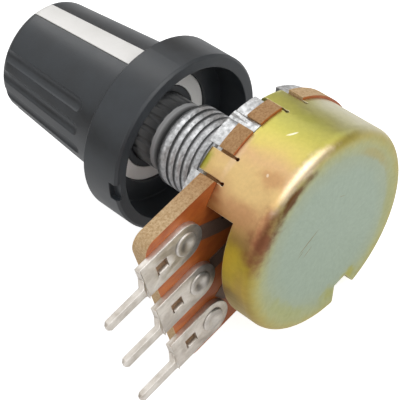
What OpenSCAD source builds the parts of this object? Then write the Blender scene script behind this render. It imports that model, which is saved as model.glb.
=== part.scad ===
// Rotary potentiometer with a push-on pointer knob.
// A carbon track on a phenolic board is clamped between a die-cast front plate
// with a threaded bushing and a drawn steel cover. Three flat terminals leave
// the board on one side, and a split shaft carries a skirted plastic knob.
//
// Every piece is drawn with the shaft upright: local +z runs along the shaft
// towards the knob, +x runs towards the terminals, and z = 0 is the face that
// seats on a panel. lay_down() then turns the whole part so that the shaft
// points along -Y, the terminals along +X and the part lies on its side.

/* [Front plate and bushing] */
// Step from the cover's wall in to the edge of the front plate
plate_step = 0.15; // [0.1:0.05:0.3]
// Thickness of the front plate
plate_t = 1.2; // [1.0:0.05:1.8]
// Gap between the eyelets and the flat cut of the plate
plate_gap = 0.65; // [0.3:0.05:1]
// Outer radius of the bushing over its thread
bushing_r = 3.5; // [3:0.05:4.5]
// Length of the bushing in front of the seat face
bushing_len = 6.6; // [4:0.1:8]
// Chamfer at the mouth of the bushing
bushing_chamfer = 0.4; // [0.2:0.05:0.6]
// Pitch of the thread
thread_pitch = 0.75; // [0.5:0.05:1.5]
// Depth of the thread's grooves
thread_cut = 0.3; // [0.15:0.05:0.4]
// Width of the two lugs that key the plate to the board
lug_w = 0.75; // [0.5:0.05:1.2]

/* [Resistor board] */
// Reach of the board's round part past the cover's wall
board_lip = 0.2; // [0.1:0.05:0.6]
// Thickness of the board
board_t = 1.35; // [0.8:0.05:1.6]
// Board left beside the outer terminals
board_margin = 0.9; // [0.7:0.05:1.3]
// Reach of the board past the eyelets
board_reach = 3.15; // [3:0.05:3.5]
// Radius of the two outer corners
board_corner = 1.2; // [0.4:0.1:2]
// Radius of the shaft opening in the board
board_hole_r = 2.9; // [2.4:0.05:3.1]

/* [Track] */
// Gap between the cover's wall and the resistance track
track_gap = 1.85; // [1.7:0.05:2]
// Width of the resistance track
track_w = 1.4; // [1.0:0.05:1.6]
// Outer radius of the collector ring
collector_r = 4.3; // [4.1:0.05:4.6]
// Width of the collector ring
collector_w = 1.1; // [0.8:0.05:1.2]
// Thickness of the printed layers
film_t = 0.05; // [0.03:0.01:0.08]
// Half angle of the free gap between the two silver track ends
lead_gap = 23; // [18:1:25]
// Angle that each silver track end covers
lead_span = 11; // [8:1:14]

/* [Terminals] */
// Distance between neighbouring terminals
pitch = 5; // [4.6:0.1:5.2]
// Width of a terminal strap
strap_w = 3.2; // [2.8:0.05:3.6]
// Thickness of the terminal sheet
strap_t = 0.45; // [0.3:0.05:0.5]
// Distance from the cover's wall to the centres of the eyelets
eyelet_out = 0.4; // [0.35:0.05:0.7]
// Length of a strap from its eyelet to its shoulder
strap_len = 4.25; // [4:0.05:5]
// Length of a pin from the shoulder to its tip
pin_len = 4.05; // [2.5:0.05:7]
// Width of a pin
pin_w = 0.8; // [0.6:0.05:1.2]
// Width of the neck between shoulder and pin
neck_w = 1.1; // [0.9:0.05:1.8]
// Step of the pin behind the strap
joggle = 0.55; // [0.3:0.05:0.8]
// Distance from the eyelet to the square window of the strap
window_step = 2.35; // [2.2:0.05:2.6]
// Width of the square window
window_w = 1.1; // [0.8:0.05:1.3]
// Radius of the eyelet barrel
eyelet_r = 0.72; // [0.5:0.02:0.8]
// Width of the eyelet's head round the barrel
eyelet_rim = 0.28; // [0.22:0.02:0.5]

/* [Rear cover] */
// Outer radius of the cover
cover_r = 8.45; // [8.4:0.05:8.5]
// Sheet thickness of the cover
cover_t = 0.4; // [0.3:0.05:0.5]
// Depth from the seat face to the back of the cover
cover_back = 7.9; // [7.7:0.05:9]
// Outer radius of the rounded back edge
cover_corner = 0.9; // [0.7:0.05:1.4]
// Half angle of the cut-back over the terminals
mouth_half = 45; // [43:1:48]
// Height of the cut-back over the terminals
mouth_h = 2.55; // [2:0.05:2.8]
// Width of a clamp tab
tab_w = 1.8; // [1.4:0.05:2.0]
// Angle between each tab and the line across the terminals
tab_angle = 65; // [62:1:68]
// Reach of the folded tab tip over the plate
tab_reach = 1.1; // [0.8:0.05:1.3]
// Width of the pushed-in stop at its innermost face
stop_w = 1.3; // [1.2:0.05:2]
// Widening of each side of the stop towards the cover's wall
stop_flare = 0.85; // [0.3:0.05:1]
// Depth of the stop along the shaft
stop_h = 1.6; // [1.4:0.05:1.8]
// Depth of the stop recess, in from the cover's wall
stop_in = 2.3; // [1.9:0.05:2.4]

/* [Shaft and rotor] */
// Radius of the knurled shaft end
shaft_r = 3; // [2.8:0.05:3]
// Length of the shaft from the seat face
shaft_len = 20; // [18:0.1:20.4]
// Radius of the shaft inside the bushing
neck_r = 2; // [1.8:0.05:2.2]
// Radius of the collar between bushing and knurled end
collar_r = 2.55; // [2.45:0.05:2.7]
// Width of the split in the shaft end
split_w = 1; // [0.6:0.1:1.4]
// Depth of the split from the shaft's tip
split_len = 8; // [5:0.5:10]
// Number of grooves of the knurl
knurl_count = 18; // [12:2:24]
// Gap between the rotor disc and the stop
rotor_gap = 0.45; // [0.35:0.05:0.6]
// Thickness of the rotor disc
rotor_t = 2.3; // [2.2:0.05:2.4]
// Gap between the rotor's stop lug and the cover's wall
lug_gap = 0.45; // [0.3:0.05:0.7]

/* [Knob] */
// Outer radius of the knob's skirt
skirt_r = 7.65; // [7.4:0.05:8]
// Wall thickness of the skirt
skirt_t = 1; // [0.8:0.05:1.2]
// Height of the skirt's rim over the seat face
skirt_rim = 6.8; // [6.7:0.05:7.2]
// Height of the skirt
skirt_h = 3.85; // [3.4:0.05:4.2]
// Radius of the tapered body where it meets the skirt
body_base_r = 6.05; // [5.9:0.05:6.3]
// Radius of the tapered body at the top edge
body_top_r = 5.1; // [5:0.05:5.5]
// Height of the knob from the skirt's rim to its top face
knob_h = 17.1; // [16:0.05:18]
// Radius of the rounded top edge
top_round = 0.95; // [0.4:0.05:1.1]
// Angle covered by the white pointer line
pointer_angle = 19.5; // [12:0.5:24]
// Number of grip flutes
flute_count = 13; // [5:1:14]
// Angle from the pointer to the first flute on each side
flute_start = 57.5; // [50:0.5:80]
// Depth of a flute
flute_depth = 0.3; // [0.1:0.05:0.35]
// Radius of the cutter that forms a flute
flute_r = 0.8; // [0.6:0.05:1.2]
// Angle of the pointer from the terminals in the stored pose
pointer_turn = 102.75; // [60:0.25:200]

/* [Hidden] */
$fn = 96;

// Clearances
seat_gap = 0.02;
fit_gap = 0.05;
film_gap = 0.06;
over = 1;

// Plan of plate, board and terminals, outward from the cover's wall
plate_r = cover_r - plate_step;
board_r = cover_r + board_lip;
eyelet_x = cover_r + eyelet_out;
eyelet_head_r = eyelet_r + eyelet_rim;
plate_flat = eyelet_x - eyelet_head_r - plate_gap;
board_end = eyelet_x + board_reach;
track_r = cover_r - cover_t - track_gap;
board_w = 2 * (pitch + strap_w / 2 + board_margin);
window_x = eyelet_x + window_step;
shoulder_x = eyelet_x + strap_len;
tip_x = shoulder_x + pin_len;
lead_w = 1.4;
silver_lap = 0.15;

// Heights along the shaft, with the seat face at zero
board_front = -plate_t;
board_rear = board_front - board_t;
strap_rear = board_rear - strap_t;
cover_rim = board_rear - seat_gap;
cover_z = -cover_back;
cover_floor = cover_z + cover_t;
mouth_z = cover_rim - mouth_h;
cavity = cover_rim - cover_floor;

// Clamp tabs and the pockets that take them
tab_half = asin(tab_w / 2 / cover_r);
tab_angles = [tab_angle, 180 - tab_angle, 180 + tab_angle, 360 - tab_angle];
tab_out = -0.35;
tab_in = tab_out - cover_t;
tab_slit = 0.24;
tab_slit_half = asin(tab_slit / 2 / cover_r);
pocket_w = tab_w + 2 * tab_slit;
pocket_floor = tab_in - seat_gap;
pocket_r = cover_r - tab_reach - 0.15;
tab_inner_r = cover_r - cover_t;
plate_notch_r = tab_inner_r - fit_gap;
tab_bend = 0.55;
skin = 0.12;
plate_lap = 0.1;
thread_lead = 0.8;
thread_foot = 0.4;

// Keying lugs of the plate
lug_angles = [90, 270];
lug_out = board_r - 0.15;
lug_in = plate_r - 0.9;

// Shaft stations
collar_z = bushing_len + fit_gap;
shoulder_z = collar_z + 0.6;
knurl_z = shoulder_z + 0.7;
tip_chamfer = 0.4;
knurl_cut = 0.24;
rotor_front = board_rear - 1.45;
rotor_rear = rotor_front - rotor_t;
washer_t = 0.3;
washer_r = 3.2;
head_z = rotor_rear - washer_t - seat_gap;
head_t = 0.3;
head_r = neck_r + 0.35;
bore_r = neck_r + fit_gap;
flat_half = neck_r - 0.45;
boss_r = 2.8;
boss_z = board_rear - 0.95;

// Stop of the rotor: total travel is 300 degrees
travel = 300;
stop_gap = 1.2;
stop_angle = 270;
stop_r = cover_r - stop_in;
stop_slope = stop_flare / stop_in;
stop_inner_r = stop_r - cover_t;
rotor_r = stop_inner_r - rotor_gap;
lug_r = cover_r - cover_t - lug_gap;
stop_half = max([for (r = [stop_inner_r, lug_r]) asin(stop_side(r, cover_t) / r)]);
lug_half = (360 - travel) / 2 - stop_half - stop_gap;
mid_turn = 180;
turn = pointer_turn - mid_turn;
lug_turn = stop_angle - 180 + turn;
lug_set = 0.85;
lug_front = rotor_front - lug_set;
lug_step = 0.1;

// Wiper stations
wiper_t = 0.2;
contact_z = board_rear - film_t - film_gap;
wiper_front = rotor_front + wiper_t;
finger_len = 2.2;
finger_w = 0.9;
finger_flat = 0.5;
contact_len = 0.25;
lift_len = 0.6;
lift_h = 0.5;
wing_lap = 0.3;
outer_finger_r = track_r - track_w / 2;
inner_finger_r = collector_r - collector_w / 2;

// Knob stations
knob_top = skirt_rim + knob_h;
skirt_top = skirt_rim + skirt_h;
skirt_floor = skirt_top - 0.95;
hub_r = shaft_r + 0.6;
insert_r = 4.8;
insert_lap = 0.3;
insert_rim = skirt_floor + 0.3;
hub_rim = insert_rim;
insert_top_r = insert_r - 0.5;
insert_step = insert_rim + 4;
roof_z = knob_top - 1.2;
bore_top = shaft_len + 0.5;
knob_bore_r = shaft_r + fit_gap;
line_depth = 0.6;
line_in = 1.6;
flute_low = skirt_top + 3.3;
flute_step = (360 - 2 * flute_start) / (flute_count - 1);
nib_w = 1.6;
nib_h = 0.8;
taper = (body_base_r - body_top_r) / (knob_top - skirt_top);

// Turns a piece from its upright pose to the way the part lies
module lay_down() {
    rotate([90, 0, 0]) children();
}

// Prism over a sector of the plane, from angle a0 to a1, between two heights
module sector(a0, a1, r, z0, z1) {
    mid = (a0 + a1) / 2;
    translate([0, 0, z0]) linear_extrude(z1 - z0)
        polygon([[0, 0], [r * cos(a0), r * sin(a0)], [r * cos(mid), r * sin(mid)],
            [r * cos(a1), r * sin(a1)]]);
}

// Flat ring between two heights
module ring(r_in, r_out, z0, z1) {
    translate([0, 0, z0]) difference() {
        cylinder(r = r_out, h = z1 - z0);
        translate([0, 0, -over]) cylinder(r = r_in, h = z1 - z0 + 2 * over);
    }
}

// Block on a radius at angle a, from r0 to r1, with width w
module radial_block(a, r0, r1, w, z0, z1) {
    rotate([0, 0, a]) translate([r0, -w / 2, z0]) cube([r1 - r0, w, z1 - z0]);
}

// Points of an arc about c, for a turned profile
function arc(c, r, a0, a1, n) = [for (i = [0:n]) let (a = a0 + (a1 - a0) * i / n)
    [c[0] + r * cos(a), c[1] + r * sin(a)]];

// Die-cast plate with its bushing, tab pockets and keying lugs
module front_plate() color([0.72, 0.72, 0.72]) lay_down() difference() {
    union() {
        translate([0, 0, board_front]) cylinder(r = plate_r, h = plate_t);
        bushing();
        for (a = lug_angles) intersection() {
            radial_block(a, lug_in, board_r, lug_w, board_rear, -0.1);
            translate([0, 0, board_rear - over]) cylinder(r = lug_out, h = board_t + plate_t + over);
        }
    }
    translate([plate_flat, -board_w, board_front - over]) cube([over * 3, 2 * board_w, plate_t + 2 * over]);
    for (a = tab_angles) {
        radial_block(a, pocket_r, board_r + over, pocket_w, pocket_floor, over);
        radial_block(a, plate_notch_r, board_r + over, pocket_w, board_rear - over, over);
    }
    translate([0, 0, board_front - over]) cylinder(r = bore_r, h = bushing_len + plate_t + 2 * over);
}

// Threaded neck of the plate: each turn of the thread is a ring groove
module bushing() {
    crest_end = bushing_len - bushing_chamfer;
    first = crest_end - thread_lead;
    grooves = floor((first - thread_foot) / thread_pitch);
    flank = thread_cut * tan(30);
    notches = [for (i = [grooves:-1:0]) let (z = first - i * thread_pitch)
        each [[bushing_r, z - flank], [bushing_r - thread_cut, z], [bushing_r, z + flank]]];
    rotate_extrude() polygon(concat([[0, -plate_lap], [bushing_r, -plate_lap]], notches,
        [[bushing_r, crest_end], [bushing_r - bushing_chamfer, bushing_len], [0, bushing_len]]));
}

// Outline of the board before its holes are punched
module board_outline() {
    circle(r = board_r);
    translate([0, -board_w / 2]) square([board_end - board_corner, board_w]);
    translate([0, board_corner - board_w / 2]) square([board_end, board_w - 2 * board_corner]);
    for (side = [-1, 1])
        translate([board_end - board_corner, side * (board_w / 2 - board_corner)]) circle(r = board_corner);
}

// Punched phenolic board with notches for the tabs and the keying lugs
module resistor_board() color([0.72, 0.38, 0.14]) lay_down() difference() {
    translate([0, 0, board_rear]) linear_extrude(board_t) board_outline();
    translate([0, 0, board_rear - over]) {
        cylinder(r = board_hole_r, h = board_t + 2 * over);
        for (side = [-1, 0, 1]) translate([eyelet_x, side * pitch, 0])
            cylinder(r = eyelet_r + fit_gap, h = board_t + 2 * over);
    }
    for (a = tab_angles)
        radial_block(a, plate_notch_r, board_r + over, pocket_w, board_rear - over, board_front + over);
    for (a = lug_angles)
        radial_block(a, lug_in - fit_gap, board_r + over, lug_w + 2 * fit_gap, board_rear - over,
            board_front + over);
}

// Carbon track, open over the terminals
module resistance_track() color([0.09, 0.09, 0.09]) lay_down() difference() {
    ring(track_r - track_w, track_r, board_rear - film_t, board_rear);
    sector(-lead_gap - lead_span, lead_gap + lead_span, 3 * track_r, board_rear - over, board_rear + over);
}

// Silver end of the track with its lead to the outer terminal
module track_end() {
    lead_angle = atan2(pitch, eyelet_x);
    strap_edge = norm([pitch, eyelet_x]) - strap_w / 2 - fit_gap;
    far = 3 * track_r;
    translate([0, 0, board_rear - film_t]) linear_extrude(film_t) {
        intersection() {
            difference() {
                circle(r = track_r + silver_lap);
                circle(r = track_r - track_w - silver_lap);
            }
            polygon([[0, 0], [far * cos(lead_gap), far * sin(lead_gap)],
                [far * cos(lead_gap + lead_span), far * sin(lead_gap + lead_span)]]);
        }
        rotate(lead_angle) translate([track_r, -lead_w / 2]) square([strap_edge - track_r, lead_w]);
    }
}

module track_end_left() color([0.6, 0.58, 0.54]) lay_down() track_end();

module track_end_right() color([0.6, 0.58, 0.54]) lay_down() mirror([0, 1, 0]) track_end();

// Inner ring of the wiper circuit with its lead to the middle terminal
module collector_ring() color([0.55, 0.53, 0.5]) lay_down() {
    lead_end = eyelet_x - strap_w / 2 - fit_gap;
    translate([0, 0, board_rear - film_t]) linear_extrude(film_t) difference() {
        union() {
            circle(r = collector_r);
            translate([0, -lead_w / 2]) square([lead_end, lead_w]);
        }
        circle(r = collector_r - collector_w);
    }
}

// Plan view of a terminal: round head, strap, shoulder and pin
module terminal_plan() {
    tip_cut = 0.25;
    neck_len = 0.55;
    difference() {
        union() {
            translate([eyelet_x, 0]) circle(r = strap_w / 2);
            translate([eyelet_x, -strap_w / 2]) square([shoulder_x - eyelet_x, strap_w]);
            polygon([[shoulder_x - 0.1, -neck_w / 2], [shoulder_x + 0.1, -neck_w / 2],
                [shoulder_x + neck_len, -pin_w / 2], [tip_x - tip_cut, -pin_w / 2], [tip_x, -pin_w / 4],
                [tip_x, pin_w / 4], [tip_x - tip_cut, pin_w / 2], [shoulder_x + neck_len, pin_w / 2],
                [shoulder_x + 0.1, neck_w / 2], [shoulder_x - 0.1, neck_w / 2]]);
        }
        translate([eyelet_x, 0]) circle(r = eyelet_r + fit_gap);
        translate([window_x - window_w / 2, -window_w / 2]) square(window_w);
    }
}

// Side view of a terminal: flat strap, step at the pin's root, tapered tip
module terminal_side() {
    bend = 0.5;
    start = shoulder_x;
    tip_cut = 0.25;
    polygon([[0, board_rear], [start, board_rear], [start + bend, board_rear - joggle],
        [tip_x - tip_cut, board_rear - joggle], [tip_x, board_rear - joggle - strap_t / 4],
        [tip_x, strap_rear - joggle + strap_t / 4], [tip_x - tip_cut, strap_rear - joggle],
        [start + bend - 0.15, strap_rear - joggle], [start - 0.15, strap_rear], [0, strap_rear]]);
}

// Stamped terminal at y, with the lanced tongue beside its window
module terminal(y) {
    tongue_len = window_w * 0.3;
    translate([0, y, 0]) {
        intersection() {
            translate([0, 0, strap_rear - joggle - over]) linear_extrude(strap_t + joggle + 2 * over)
                terminal_plan();
            translate([0, strap_w, 0]) rotate([90, 0, 0]) linear_extrude(2 * strap_w) terminal_side();
        }
        translate([window_x - window_w / 2 + 0.1, -window_w / 2 - 0.1, strap_rear])
            rotate([-14, 0, 0]) cube([window_w - 0.2, tongue_len + 0.1, 0.2]);
    }
}

module terminal_left() color([0.72, 0.7, 0.67]) lay_down() terminal(pitch);

module terminal_centre() color([0.72, 0.7, 0.67]) lay_down() terminal(0);

module terminal_right() color([0.72, 0.7, 0.67]) lay_down() terminal(-pitch);

// Eyelet at y: dished head on the strap, barrel in the board, rolled end in front
module eyelet(y) {
    head = eyelet_head_r;
    lip = 0.13;
    dish = head - 2 * lip;
    dish_depth = 0.16;
    back = strap_rear - seat_gap;
    front = board_front + seat_gap;
    translate([eyelet_x, y, 0]) rotate_extrude() polygon(concat(
        [for (i = [0:6]) [dish * i / 6, back - lip + dish_depth * pow(cos(15 * i), 2)]],
        arc([head - lip, back], lip, -90, 0, 4),
        [[eyelet_r, back], [eyelet_r, front], [head - 0.05, front], [head - 0.15, front + 0.25],
            [0, front + 0.25]]));
}

module eyelet_left() color([0.76, 0.75, 0.74]) lay_down() eyelet(pitch);

module eyelet_centre() color([0.76, 0.75, 0.74]) lay_down() eyelet(0);

module eyelet_right() color([0.76, 0.75, 0.74]) lay_down() eyelet(-pitch);

// Half section of a cup with a rounded back edge
module cup_section(r, z_back, corner, z_open) {
    translate([0, z_back]) square([r - corner, z_open - z_back]);
    translate([0, z_back + corner]) square([r, z_open - z_back - corner]);
    translate([r - corner, z_back + corner]) circle(r = corner);
}

// Half section of a clamp tab: wall strip with its tip folded in over the plate
module tab_section() {
    translate([tab_inner_r, cover_rim - over]) square([cover_t, tab_out - tab_bend - cover_rim + over]);
    translate([cover_r - tab_reach, tab_in]) square([tab_reach - tab_bend, cover_t]);
    difference() {
        translate([cover_r - tab_bend, tab_out - tab_bend]) circle(r = tab_bend);
        translate([tab_inner_r - 2 * tab_bend, tab_in - 2 * tab_bend]) square(2 * tab_bend);
    }
}

// Drawn cup with a folded collar, before the collar is cut into tabs
module cover_blank() {
    rotate([0, 0, 180]) rotate_extrude() {
        difference() {
            cup_section(cover_r, cover_z, cover_corner, cover_rim);
            cup_section(tab_inner_r, cover_floor, cover_corner - cover_t, cover_rim + over);
        }
        tab_section();
    }
}

// Keyhole-shaped relief slits beside the foot of a tab
module tab_reliefs(a) {
    depth = 0.4;
    slit = 0.75 * tab_slit;
    for (side = [-1, 1])
        rotate([0, 0, a + side * (tab_half + tab_slit_half)]) translate([cover_r - 1.5, 0, cover_rim - depth]) {
            rotate([0, 90, 0]) cylinder(r = tab_slit * 0.6, h = 3, $fn = 32);
            translate([0, -slit / 2, 0]) cube([3, slit, depth + over]);
        }
}

// Half width of the stop at radius r, with its flared sides grown outward by g
function stop_side(r, g) = stop_w / 2 + stop_slope * (r - stop_r) + g * norm([1, stop_slope]);

// Block of the pushed-in stop, grown by g on every side
module stop_block(g) {
    near = stop_r - g;
    far = cover_r + over;
    rotate([0, 0, stop_angle]) translate([0, 0, cover_z - over]) linear_extrude(stop_h + g + over)
        polygon([[near, -stop_side(near, g)], [far, -stop_side(far, g)], [far, stop_side(far, g)],
            [near, stop_side(near, g)]]);
}

// Plated steel cover with clamp tabs, terminal cut-back and rotor stop
module rear_cover() color([0.78, 0.7, 0.38]) lay_down() difference() {
    union() {
        cover_blank();
        intersection() {
            stop_block(cover_t);
            rotate_extrude() cup_section(cover_r - skin, cover_z + skin, cover_corner, cover_rim - over);
        }
    }
    stop_block(0);
    sector(-mouth_half, mouth_half, 2 * cover_r, mouth_z, over);
    for (i = [0:len(tab_angles) - 1]) {
        next = tab_angles[(i + 1) % len(tab_angles)] + (i + 1 < len(tab_angles) ? 0 : 360);
        sector(tab_angles[i] + tab_half, next - tab_half, 3 * cover_r, cover_rim, over);
        tab_reliefs(tab_angles[i]);
    }
}

// Turned shaft: split knurled end, collar, neck in the bushing, flatted end and head
module shaft() color([0.75, 0.75, 0.76]) lay_down() rotate([0, 0, turn]) difference() {
    union() {
        translate([0, 0, shoulder_z]) cylinder(r = shaft_r, h = shaft_len - tip_chamfer - shoulder_z);
        translate([0, 0, shaft_len - tip_chamfer])
            cylinder(r1 = shaft_r, r2 = shaft_r - tip_chamfer, h = tip_chamfer);
        translate([0, 0, collar_z]) cylinder(r = collar_r, h = shoulder_z - collar_z);
        translate([0, 0, rotor_front]) cylinder(r = neck_r, h = collar_z - rotor_front);
        intersection() {
            translate([0, 0, head_z]) cylinder(r = neck_r, h = rotor_front - head_z);
            translate([-shaft_r, -flat_half, head_z - over]) cube([2 * shaft_r, 2 * flat_half, 6]);
        }
        translate([0, 0, head_z - head_t]) cylinder(r = head_r, h = head_t);
    }
    translate([-shaft_r - over, -split_w / 2, shaft_len - split_len])
        cube([2 * (shaft_r + over), split_w, split_len + over]);
    for (i = [0:knurl_count - 1]) rotate([0, 0, 360 * (i + 0.5) / knurl_count])
        translate([shaft_r + knurl_cut / 4, 0, knurl_z]) cylinder(r = knurl_cut, h = shaft_len, $fn = 16);
}

// Moulded rotor with a flatted bore, a boss for the wiper and the stop lug
module rotor() color([0.08, 0.08, 0.08]) lay_down() difference() {
    union() {
        rotate([0, 0, lug_turn + 180]) {
            translate([0, 0, rotor_rear]) cylinder(r = rotor_r, h = rotor_t);
            translate([0, 0, rotor_front - 0.1]) cylinder(r = boss_r, h = boss_z - rotor_front + 0.1);
        }
        intersection() {
            rotate([0, 0, lug_turn + 180]) translate([0, 0, rotor_rear + lug_step])
                cylinder(r = lug_r, h = lug_front - rotor_rear - lug_step);
            sector(lug_turn - lug_half, lug_turn + lug_half, 3 * lug_r, rotor_rear - over, over);
            radial_block(lug_turn, bore_r + over, 2 * lug_r, 2 * lug_r, rotor_rear - over, over);
        }
    }
    rotate([0, 0, turn]) intersection() {
        translate([0, 0, rotor_rear - over]) cylinder(r = bore_r, h = 6);
        translate([-shaft_r, -flat_half - fit_gap, rotor_rear - over])
            cube([2 * shaft_r, 2 * (flat_half + fit_gap), rotor_t + over - 0.1]);
    }
    translate([0, 0, rotor_front - 0.2]) cylinder(r = bore_r + fit_gap, h = 3);
}

// Spring finger over radius r: it rises from the rotor to the printed layer
module finger(r) {
    rotate([0, 0, pointer_turn]) translate([r - finger_w / 2, 0, 0]) rotate([90, 0, 90])
        linear_extrude(finger_w) polygon([[-finger_len, rotor_front],
            [finger_flat - finger_len, rotor_front], [contact_len / 4, contact_z - 1.25 * wiper_t],
            [lift_len - wiper_t / 2, contact_z - lift_h - wiper_t / 2], [lift_len, contact_z - lift_h],
            [contact_len / 2, contact_z], [-contact_len / 2, contact_z], [-finger_len, wiper_front]]);
}

// Spring wiper: ring round the boss, a wing under the fingers and two contacts
module wiper() color([0.78, 0.6, 0.32]) lay_down() {
    ring(boss_r + fit_gap, collector_r + wing_lap, rotor_front, wiper_front);
    intersection() {
        ring(boss_r + fit_gap, rotor_r - 0.05, rotor_front, wiper_front);
        sector(pointer_turn - 34, pointer_turn - 8, 3 * rotor_r, rotor_front - over, over);
    }
    finger(outer_finger_r);
    finger(inner_finger_r);
}

// Washer under the riveted shaft end
module rotor_washer() color([0.7, 0.7, 0.7]) lay_down()
    ring(bore_r, washer_r, rotor_rear - washer_t - seat_gap / 2, rotor_rear - seat_gap / 2);

// Outer half section of the knob, filled to the axis
module knob_outline() {
    edge = 0.2;
    polygon(concat(
        [[0, skirt_rim], [skirt_r - edge, skirt_rim], [skirt_r, skirt_rim + edge],
            [skirt_r, skirt_top - edge], [skirt_r - edge, skirt_top], [body_base_r, skirt_top]],
        arc([body_top_r - top_round, knob_top - top_round], top_round, 4, 90, 8),
        [[0, knob_top]]));
}

// Hollow of the knob: skirt recess, sleeve space and shaft bore
module knob_hollow() {
    polygon([[hub_r, skirt_rim - over], [skirt_r - skirt_t, skirt_rim - over],
        [skirt_r - skirt_t - 0.1, skirt_floor], [insert_r + fit_gap, skirt_floor],
        [insert_r + fit_gap, insert_step + fit_gap], [insert_top_r + fit_gap, insert_step + fit_gap],
        [insert_top_r + fit_gap, roof_z], [hub_r, roof_z]]);
    translate([0, skirt_rim - over]) square([hub_r + 0.1, hub_rim - skirt_rim + over]);
    translate([0, hub_rim - 0.1]) square([knob_bore_r, bore_top - hub_rim + 0.1]);
}

// One grip flute: a round cutter along the tapered side, with a round lower end
module flute() {
    lean = atan(taper);
    axis_r = body_base_r + flute_r - flute_depth - taper * (flute_low - skirt_top);
    translate([axis_r, 0, flute_low]) rotate([0, -lean, 0]) {
        cylinder(r = flute_r, h = knob_top, $fn = 32);
        sphere(r = flute_r, $fn = 32);
    }
}

// Space taken by the white line, grown by g on both sides
module line_space(g) {
    grow = asin(g / body_base_r);
    half = pointer_angle / 2 + grow;
    intersection() {
        difference() {
            sector(-half, half, 3 * skirt_r, skirt_top - g, knob_top + over);
            translate([0, 0, skirt_rim]) cylinder(r = insert_r - insert_lap, h = roof_z - skirt_rim);
        }
        union() {
            ring(insert_r - 2 * insert_lap, skirt_r + over, skirt_rim, knob_top + over);
            radial_block(0, line_in - g, skirt_r, skirt_r, knob_top - line_depth - g, knob_top + over);
        }
    }
}

// Black knob: tapered fluted body, skirt and hub
module knob_shell() color([0.16, 0.17, 0.18]) lay_down() rotate([0, 0, pointer_turn]) difference() {
    rotate_extrude() knob_outline();
    rotate_extrude() knob_hollow();
    line_space(fit_gap);
    for (i = [0:flute_count - 1]) rotate([0, 0, flute_start + i * flute_step]) flute();
    radial_block(-91, skirt_r - 0.5, skirt_r + over, nib_w, skirt_rim - over, skirt_rim + nib_h);
}

// White core of the knob: sleeve round the hub and the line through the body
module knob_insert() color([0.9, 0.9, 0.89]) lay_down() rotate([0, 0, pointer_turn]) {
    rotate_extrude() {
        translate([hub_r + fit_gap, insert_rim])
            square([insert_r - hub_r - fit_gap, insert_step - insert_rim]);
        translate([hub_r + fit_gap, insert_rim])
            square([insert_top_r - hub_r - fit_gap, roof_z - fit_gap - insert_rim]);
    }
    intersection() {
        line_space(0);
        rotate_extrude() knob_outline();
    }
}

front_plate();
resistor_board();
resistance_track();
track_end_left();
track_end_right();
collector_ring();
terminal_left();
terminal_centre();
terminal_right();
eyelet_left();
eyelet_centre();
eyelet_right();
rear_cover();
shaft();
rotor();
wiper();
rotor_washer();
knob_shell();
knob_insert();
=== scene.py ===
"""Looks of a panel-mount rotary potentiometer with a push-on pointer knob.

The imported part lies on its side: its shaft points along -Y and its terminals
along +X. Pieces made here are first shaped upright, with the shaft along +Z
and the terminals along +X, and are then laid down into the part's frame.
"""

import logging
import math
from contextlib import contextmanager
from dataclasses import dataclass
from enum import Enum
from typing import Callable, Iterator, Protocol

import bmesh
import bpy
from mathutils import Matrix, Vector


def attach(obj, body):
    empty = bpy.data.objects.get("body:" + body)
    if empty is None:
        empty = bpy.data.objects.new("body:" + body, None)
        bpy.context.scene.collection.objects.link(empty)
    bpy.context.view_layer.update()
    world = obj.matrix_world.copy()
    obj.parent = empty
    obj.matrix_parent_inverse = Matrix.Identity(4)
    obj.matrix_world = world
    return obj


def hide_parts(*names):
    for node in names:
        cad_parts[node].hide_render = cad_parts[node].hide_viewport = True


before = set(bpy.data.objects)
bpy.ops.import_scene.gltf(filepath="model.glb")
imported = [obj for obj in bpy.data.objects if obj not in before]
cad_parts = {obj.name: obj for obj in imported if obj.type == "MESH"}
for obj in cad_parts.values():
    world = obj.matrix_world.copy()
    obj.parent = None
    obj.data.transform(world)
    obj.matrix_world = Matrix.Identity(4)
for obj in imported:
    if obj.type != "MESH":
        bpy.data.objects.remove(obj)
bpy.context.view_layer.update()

log = logging.getLogger("potentiometer")

Socket = bpy.types.NodeSocket
Triple = tuple[float, float, float]
Stop = tuple[float, str]

# One millimetre, in the metres of the scene.
MM = 0.001
# The turn about X between a piece shaped upright and the same piece in the part's frame.
LYING = math.radians(90)
# A face of an upright piece counts as level when its normal rises by more than this.
LEVEL = 0.9
# Points of a CAD mesh that lie closer than this, in metres, are one point.
SAME_POINT = 1e-6
# Outer radius of the cover and the level of its flat back on the upright part, in millimetres.
COVER_R = 8.45
COVER_BACK = -7.9


class Body(Enum):
    """The two bodies of the part: what is held by the panel and what turns."""

    HOUSING = "housing"
    SPINDLE = "spindle"


class Slot(Enum):
    """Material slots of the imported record."""

    ZINC = "zinc_casting"
    BOARD = "phenolic_board"
    CARBON = "carbon_film"
    SILVER = "silver_film"
    TIN = "tinned_brass"
    EYELET = "eyelet_metal"
    CHROMATE = "chromate_steel"
    SHAFT = "shaft_metal"
    ROTOR = "rotor_plastic"
    SPRING = "spring_bronze"
    KNOB = "knob_plastic"
    WHITE = "white_plastic"


# Mesh work


def deselect() -> None:
    """Leaves edit mode and deselects every object."""
    if bpy.context.object and bpy.context.object.mode != "OBJECT":
        bpy.ops.object.mode_set(mode="OBJECT")
    bpy.ops.object.select_all(action="DESELECT")


def pick(piece: bpy.types.Object) -> None:
    """Selects one object alone and makes it active."""
    deselect()
    piece.select_set(True)
    bpy.context.view_layer.objects.active = piece


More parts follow.
